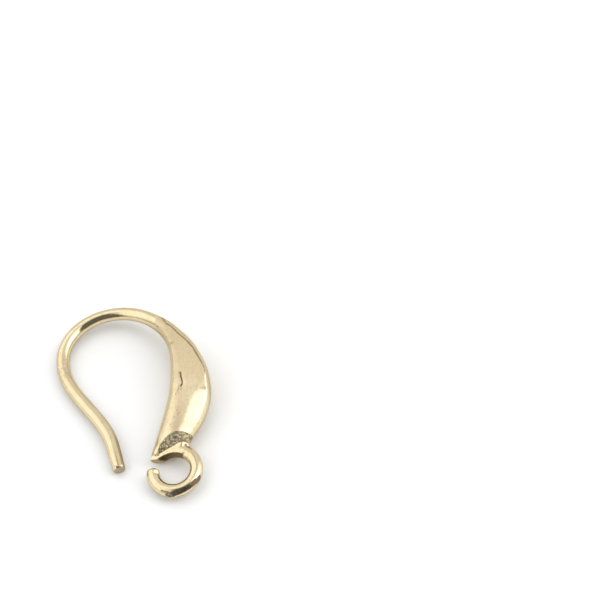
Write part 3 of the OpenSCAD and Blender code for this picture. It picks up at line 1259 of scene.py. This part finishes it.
# %% [markdown]
# ## The brass: how smooth it is
#
# Tumbled wire is nearly a mirror. The body's matt face, dirt and file marks
# scatter the light, so each map adds its own amount of roughness to that of
# the bright metal. Scratches add a little everywhere.

# %% Brass: roughness
rough = tray.step(fine, 0.35, 0.7, 0.05, 0.10)
rough = tray.math("ADD", rough, tray.step(scratch, 0.55, 0.75, 0.0, 0.14))
for finish_map, extra in (
        (matt_map, 0.36), (dull_map, 0.10), (low_shade_map, 0.15), (torn_map, 0.10),
        (dirt_and_shade_map, 0.25), (filed_map, 0.32), (cut_map, 0.28)):
    rough = tray.add_to(rough, finish_map, extra)
tray.tree.links.new(rough, shader.inputs["Roughness"])
print("bright metal has roughness 0.05 to 0.10, the matt face about 0.4 more")

# %% [markdown]
# ## The brass: its finest relief
#
# Grain finer than the mesh's faces can't be in the mesh. A bump does it: it
# tilts the light's bounce as if the surface went up and down by a few
# hundredths of a millimetre. The torn slope gets by far the most, which makes
# it sparkle.

# %% Brass: relief
relief = tray.times(fine, tray.add_to(0.05, matt_map, 1.3))
relief = tray.add_to(relief, scratch, 0.25)
relief = tray.add_to(relief, tray.times(crumbs, torn_map), 8.0)
relief = tray.add_to(relief, tray.times(speck, filed_map), 1.0)
relief = tray.add_to(relief, tray.times(speck, cut_map), 1.2)
bump = make(tray.tree, "ShaderNodeBump", {
    "Height": relief, "Strength": 0.6, "Distance": 0.02 * MM})
tray.tree.links.new(bump.outputs["Normal"], shader.inputs["Normal"])

cast.data.materials.clear()
cast.data.materials.append(brass)
print("the whole brass has", len(tray.tree.nodes), "nodes")

# %% [markdown]
# ## The table
#
# The piece lies on matt white board. A sheet with a curved back wall is usual
# in a studio, but the camera looks down steeply, so one flat sheet is enough.
# It is much larger than the view, so that its edges never show.

# %% Table
put_down()
bpy.ops.mesh.primitive_grid_add(x_subdivisions=2, y_subdivisions=2, size=1.2)
table = bpy.context.object
table.name = "white_table"
board = bpy.data.materials.new("white_board")
board.use_nodes = True
board_shader = board.node_tree.nodes["Principled BSDF"]
board_shader.inputs["Base Color"].default_value = (0.845, 0.855, 0.87, 1)
board_shader.inputs["Roughness"].default_value = 0.6
table.data.materials.append(board)
table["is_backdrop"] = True
print("the table is", round(table.dimensions.x, 2), "m wide")

# %% [markdown]
# ## The light tent
#
# Polished metal shows what is round it, so jewellery is put in a white tent.
# It could be built of cloth and lamps. The world's own background is simpler,
# because its brightness can be given for each direction. For that, a
# direction is turned into two angles: how far round the table it lies, with
# 0 straight in front and 90 to the right, and how high above it.

# %% Directions in the tent
world = bpy.data.worlds.new("tent")
bpy.context.scene.world = world
world.use_nodes = True
sky = Tray(world.node_tree)
sky.tree.nodes.clear()
direction = make(sky.tree, "ShaderNodeTexCoord").outputs["Generated"]
split = make(sky.tree, "ShaderNodeSeparateXYZ", {"Vector": direction})
to_right, to_back, upwards = (split.outputs[k] for k in "XYZ")

degrees = 180 / math.pi
turn = sky.times(sky.math("ARCTAN2", to_right, sky.times(to_back, -1.0)), degrees)
height = sky.times(sky.math("ARCSINE", upwards), degrees)
print("the tent's directions use", len(sky.tree.nodes), "nodes")

# %% [markdown]
# ## Walls, opening and softbox
#
# The tent is pale all over. Its left and right walls are brighter, and a
# softbox in the right one makes the white highlights. The front is open and
# dark, which the wire mirrors as its brown streaks. The left jamb of the
# opening slants, as a cloth's edge would. Each part is a mask made of soft
# steps, and together they give the tone for each direction.

# %% Tent
leaning = sky.add_to(turn, height, 0.4)
left_wall = sky.times(
    sky.step(leaning, -137, -123), sky.step(turn, -22, -40),
    sky.step(height, 0, 15), sky.step(height, 85, 60))
right_wall = sky.times(
    sky.step(turn, 58, 66), sky.step(turn, 138, 118),
    sky.step(height, 0, 15, 0.4, 1.0), sky.step(height, 88, 70))
softbox = sky.times(
    sky.step(turn, 68, 82), sky.step(turn, 120, 104),
    sky.step(height, 20, 34), sky.step(height, 72, 58))
low_down = sky.math("POWER", sky.math("SUBTRACT", 1.0, upwards), 2.0)
left_jamb = sky.add_to(to_right, low_down, 0.25)
opening = sky.times(
    sky.step(left_jamb, -0.40, -0.24), sky.step(turn, 64, 60), sky.step(to_back, 0.03, -0.07))

tone = sky.add_to(0.88, left_wall, 0.45)
tone = sky.add_to(tone, right_wall, 0.9)
tone = sky.add_to(tone, softbox, 0.9)
tone = sky.times(tone, sky.step(height, 0, 22, 0.75, 1.0), sky.add_to(1.0, opening, -0.83))
backdrop = make(sky.tree, "ShaderNodeBackground", {
    "Color": (1.0, 0.985, 0.96, 1), "Strength": tone})
make(sky.tree, "ShaderNodeOutputWorld", {"Surface": backdrop.outputs[0]})
print("the whole tent uses", len(sky.tree.nodes), "nodes")

# %% [markdown]
# ## Four weak lamps
#
# The tent alone leaves the board grey, and brighter walls would change what
# the metal mirrors. So four soft square lamps light the board from above on
# all sides, which keeps the piece's shadow faint. They are hidden from the
# metal, as lamps above the tent's cloth would be.

# %% Lamps
lamp_away = 0.35  # metres


def hang_lamp(name, turn_to, rise_to, size, power):
    """A square soft lamp that looks at the piece."""
    a, up = math.radians(turn_to), math.radians(rise_to)
    spot = lamp_away * Vector(
        (math.sin(a) * math.cos(up), -math.cos(a) * math.cos(up), math.sin(up)))
    light = bpy.data.lights.new(name, "AREA")
    light.shape, light.size, light.energy = "SQUARE", size, power
    light.color = (0.97, 0.985, 1.0)
    piece = bpy.data.objects.new(name, light)
    piece.location = spot
    piece.rotation_euler = (-spot).to_track_quat("-Z", "Y").to_euler()
    piece.visible_glossy = False
    bpy.context.scene.collection.objects.link(piece)
    print(name, "shines with", power, "W, from", rise_to, "degrees up")


hang_lamp("back_lamp", 180, 62, 0.20, 0.10)
hang_lamp("left_lamp", -80, 60, 0.30, 0.12)
hang_lamp("right_lamp", 95, 60, 0.30, 0.06)
hang_lamp("front_lamp", 0, 62, 0.30, 0.20)
bpy.context.scene.view_settings.view_transform = "Standard"

# %% [markdown]
# ## Camera
#
# The outline in the photo fits a camera 51 degrees above the table, straight
# in front, 72 mm from the place it looks at. Its lens follows from how wide
# the piece is in the picture. The piece fills only a part of the view, so the
# camera looks at a place beside it.

# %% Camera
look_at = Vector((10.327, 8.2475, 0)) * MM
camera_rise, camera_away = math.radians(51), 72 * MM
focal_pixels, photo_pixels, sensor_mm = 1090, 600, 36
camera_data = bpy.data.cameras.new("camera")
camera_data.sensor_width = sensor_mm
camera_data.lens = sensor_mm * focal_pixels / photo_pixels
camera_data.clip_start = 0.001
camera = bpy.data.objects.new("camera", camera_data)
camera.location = look_at + camera_away * Vector(
    (0, -math.cos(camera_rise), math.sin(camera_rise)))
camera.rotation_euler = (look_at - camera.location).to_track_quat("-Z", "Y").to_euler()
bpy.context.scene.collection.objects.link(camera)
bpy.context.scene.camera = camera
print("the lens is", round(camera_data.lens, 1), "mm")

# %% [markdown]
# ## The two boxes
#
# The solid's box and this model's box are kept side by side, to show that the
# finished piece has the solid's size.

# %% Sizes and finish
seen_low, seen_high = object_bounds()
rows = [[float(v) for v in (*low, *high)]
        for low, high in ((cad_low, cad_high), (seen_low, seen_high))]
print("solid and model, mm:", [[round(1000 * v, 2) for v in row] for row in rows])
